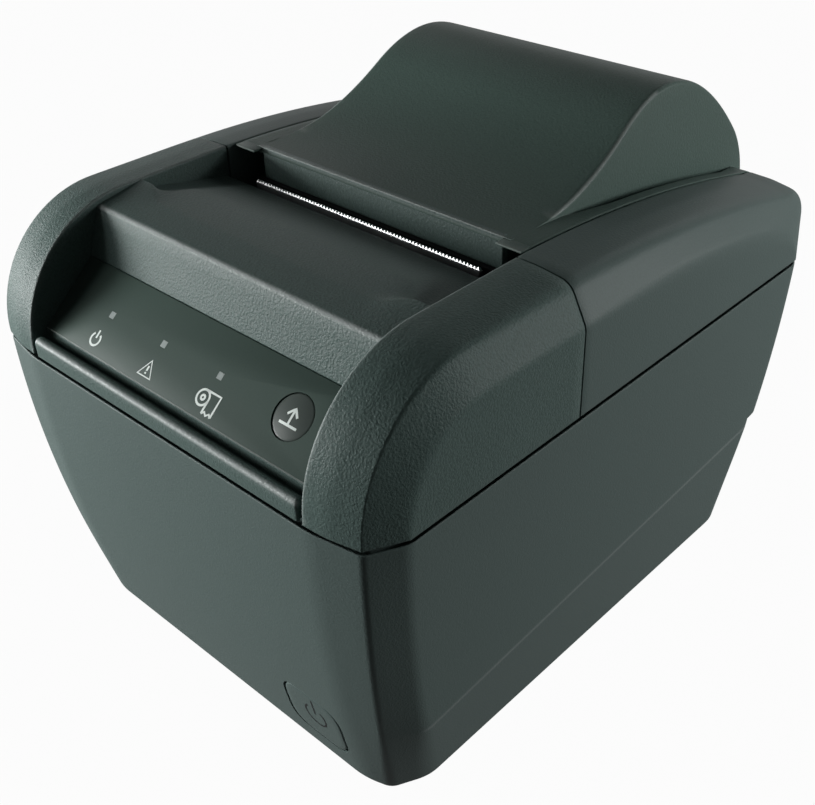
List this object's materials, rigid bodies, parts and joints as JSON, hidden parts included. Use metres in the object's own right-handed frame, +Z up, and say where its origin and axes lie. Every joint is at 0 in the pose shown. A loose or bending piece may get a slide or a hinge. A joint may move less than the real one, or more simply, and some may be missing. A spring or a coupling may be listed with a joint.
{
  "type": "receipt printer",
  "caption": "Countertop thermal receipt printer with drop-in paper roll, hinged lid, serrated tear bar, guillotine cutter and front panel with a feed button.",
  "frame": {"origin": "on the table under the middle of the case", "axes": "+Z up, the front faces -Y, +X towards the side with the feed button"},
  "size_m": [0.146, 0.188, 0.149],
  "materials": {
    "case_plastic": "satin fine grain",
    "front_plastic": "coarse spark grain",
    "lid_plastic": "satin fine grain",
    "base_plastic": "matte",
    "foot_rubber": "matte",
    "platen_rubber": "ground",
    "screw_steel": "zinc plated",
    "panel_sheet": "satin film",
    "light_plastic": "clear grey",
    "led": "clear",
    "circuit_board": "solder mask",
    "black_plastic": "moulded",
    "button_plastic": "satin",
    "blade_steel": "ground",
    "bright_steel": "turned",
    "frame_steel": "galvanised sheet",
    "motor_metal": "plated",
    "gear_plastic": "acetal",
    "post_brass": "brass",
    "head_ceramic": "glazed ceramic",
    "head_aluminium": "die cast",
    "capacitor_sleeve": "sleeved",
    "serial_plastic": "moulded",
    "cable_film": "film"
  },
  "bodies": {
    "printer": {"lower_case": "case_plastic", "base_plate": "base_plastic", "rubber_feet": "foot_rubber", "base_screws": "screw_steel", "front_cover": "front_plastic", "rear_cover": "case_plastic", "cover_screws": "screw_steel", "panel_overlay": "panel_sheet", "power_light": "light_plastic", "error_light": "light_plastic", "paper_light": "light_plastic", "panel_board": "circuit_board", "panel_leds": "led", "feed_switch": "black_plastic", "panel_screws": "screw_steel", "power_switch": "black_plastic", "tear_bar": "blade_steel", "hinge_pins": "bright_steel", "roll_bucket": "base_plastic", "bucket_screws": "screw_steel", "chassis": "frame_steel", "frame_posts": "post_brass", "chassis_screws": "screw_steel", "feed_motor": "motor_metal", "idler_axle": "bright_steel", "head_shaft": "bright_steel", "cutter_motor": "motor_metal", "cutter_guides": "base_plastic", "head_bracket": "head_aluminium", "board_screws": "screw_steel", "paper_sensor": "black_plastic", "near_end_sensor": "black_plastic", "lid_sensor": "black_plastic", "main_board": "circuit_board", "board_parts": "black_plastic", "board_capacitors": "capacitor_sleeve", "port_plate": "frame_steel", "port_screws": "screw_steel", "power_jack": "black_plastic", "drawer_jack": "black_plastic", "usb_port": "bright_steel", "serial_port": "serial_plastic", "head_cable": "cable_film"},
    "lid": {"lid_shell": "lid_plastic", "platen_carrier": "base_plastic", "carrier_screws": "screw_steel", "fixed_blade": "blade_steel", "platen_bushings": "gear_plastic"},
    "platen": {"platen_shaft": "bright_steel", "platen_rubber": "platen_rubber", "platen_gear": "gear_plastic"},
    "idler": {"idler_gear": "gear_plastic"},
    "motor_rotor": {"motor_pinion": "gear_plastic"},
    "head": {"print_head": "head_ceramic", "head_heatsink": "head_aluminium", "head_springs": "bright_steel"},
    "blade": {"cutter_blade": "blade_steel"},
    "blade_pinion": {"cutter_pinion": "post_brass"},
    "feed_key": {"feed_button": "button_plastic"},
    "power_key": {"power_button": "case_plastic"}
  },
  "joints": [
    {"name": "lid_hinge", "type": "hinge", "parent": "printer", "child": "lid", "pos_m": [0, 0.0898, 0.0998], "axis": [-1, 0, 0], "range_deg": [0, 88]},
    {"name": "platen_spin", "type": "hinge", "parent": "lid", "child": "platen", "pos_m": [0, -0.01535, 0.104], "axis": [1, 0, 0], "continuous": true},
    {"name": "idler_spin", "type": "hinge", "parent": "printer", "child": "idler", "pos_m": [-0.0492, -0.01535, 0.083], "axis": [1, 0, 0], "continuous": true},
    {"name": "motor_spin", "type": "hinge", "parent": "printer", "child": "motor_rotor", "pos_m": [-0.0492, -0.0268, 0.07154], "axis": [1, 0, 0], "continuous": true},
    {"name": "head_tilt", "type": "hinge", "parent": "printer", "child": "head", "pos_m": [0, -0.02565, 0.08975], "axis": [1, 0, 0], "range_deg": [0, 2], "stiffness_Nm_per_rad": 0.8, "springref_deg": -5.73},
    {"name": "blade_slide", "type": "slide", "parent": "printer", "child": "blade", "axis": [0, 1, 0], "range_m": [0, 0.007]},
    {"name": "blade_pinion_spin", "type": "hinge", "parent": "printer", "child": "blade_pinion", "pos_m": [0.0305, -0.04655, 0.10718], "axis": [1, 0, 0], "range_deg": [-101, 0.5]},
    {"name": "feed_press", "type": "slide", "parent": "printer", "child": "feed_key", "axis": [0, 0.6494, -0.7604], "range_m": [0, 0.0008], "stiffness_N_per_m": 600, "springref_m": -0.001},
    {"name": "power_press", "type": "slide", "parent": "printer", "child": "power_key", "axis": [0, 1, 0], "range_m": [0, 0.002], "stiffness_N_per_m": 700, "springref_m": -0.001}
  ],
  "couplings": [
    {"joint": "idler_spin", "follows": "platen_spin", "ratio": -0.75},
    {"joint": "motor_spin", "follows": "platen_spin", "ratio": 2.1429},
    {"joint": "blade_pinion_spin", "follows": "blade_slide", "rad_per_m": -250}
  ]
}
